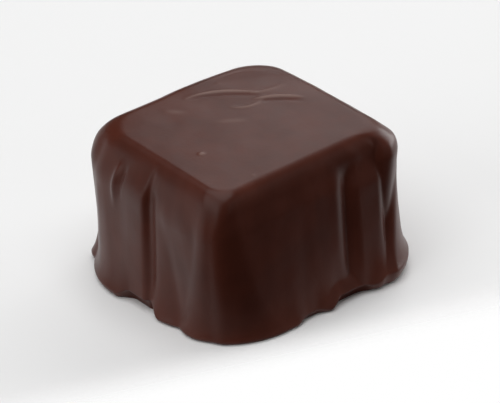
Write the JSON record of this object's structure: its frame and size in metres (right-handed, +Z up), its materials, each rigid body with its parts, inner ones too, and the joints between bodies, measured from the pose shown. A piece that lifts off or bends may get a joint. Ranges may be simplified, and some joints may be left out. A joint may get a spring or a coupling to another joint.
{
  "type": "date truffle",
  "caption": "Square date truffle coated in dark chocolate, with run-down flows on its walls, pooled feet at its corners and a flat sole to stand on.",
  "frame": {"origin": "centre of the bounding box's bottom face, on the plane that the sole rests on", "axes": "+Z up; +X and -Y point out of the two upright walls that face the viewer, which meet at the near corner"},
  "size_m": [0.0332, 0.035, 0.0213],
  "materials": {
    "dark_chocolate": "satin dark chocolate coating, deep red-brown, slightly uneven, with broad soft reflections"
  },
  "bodies": {
    "root": {"truffle": "dark_chocolate"}
  },
  "joints": []
}
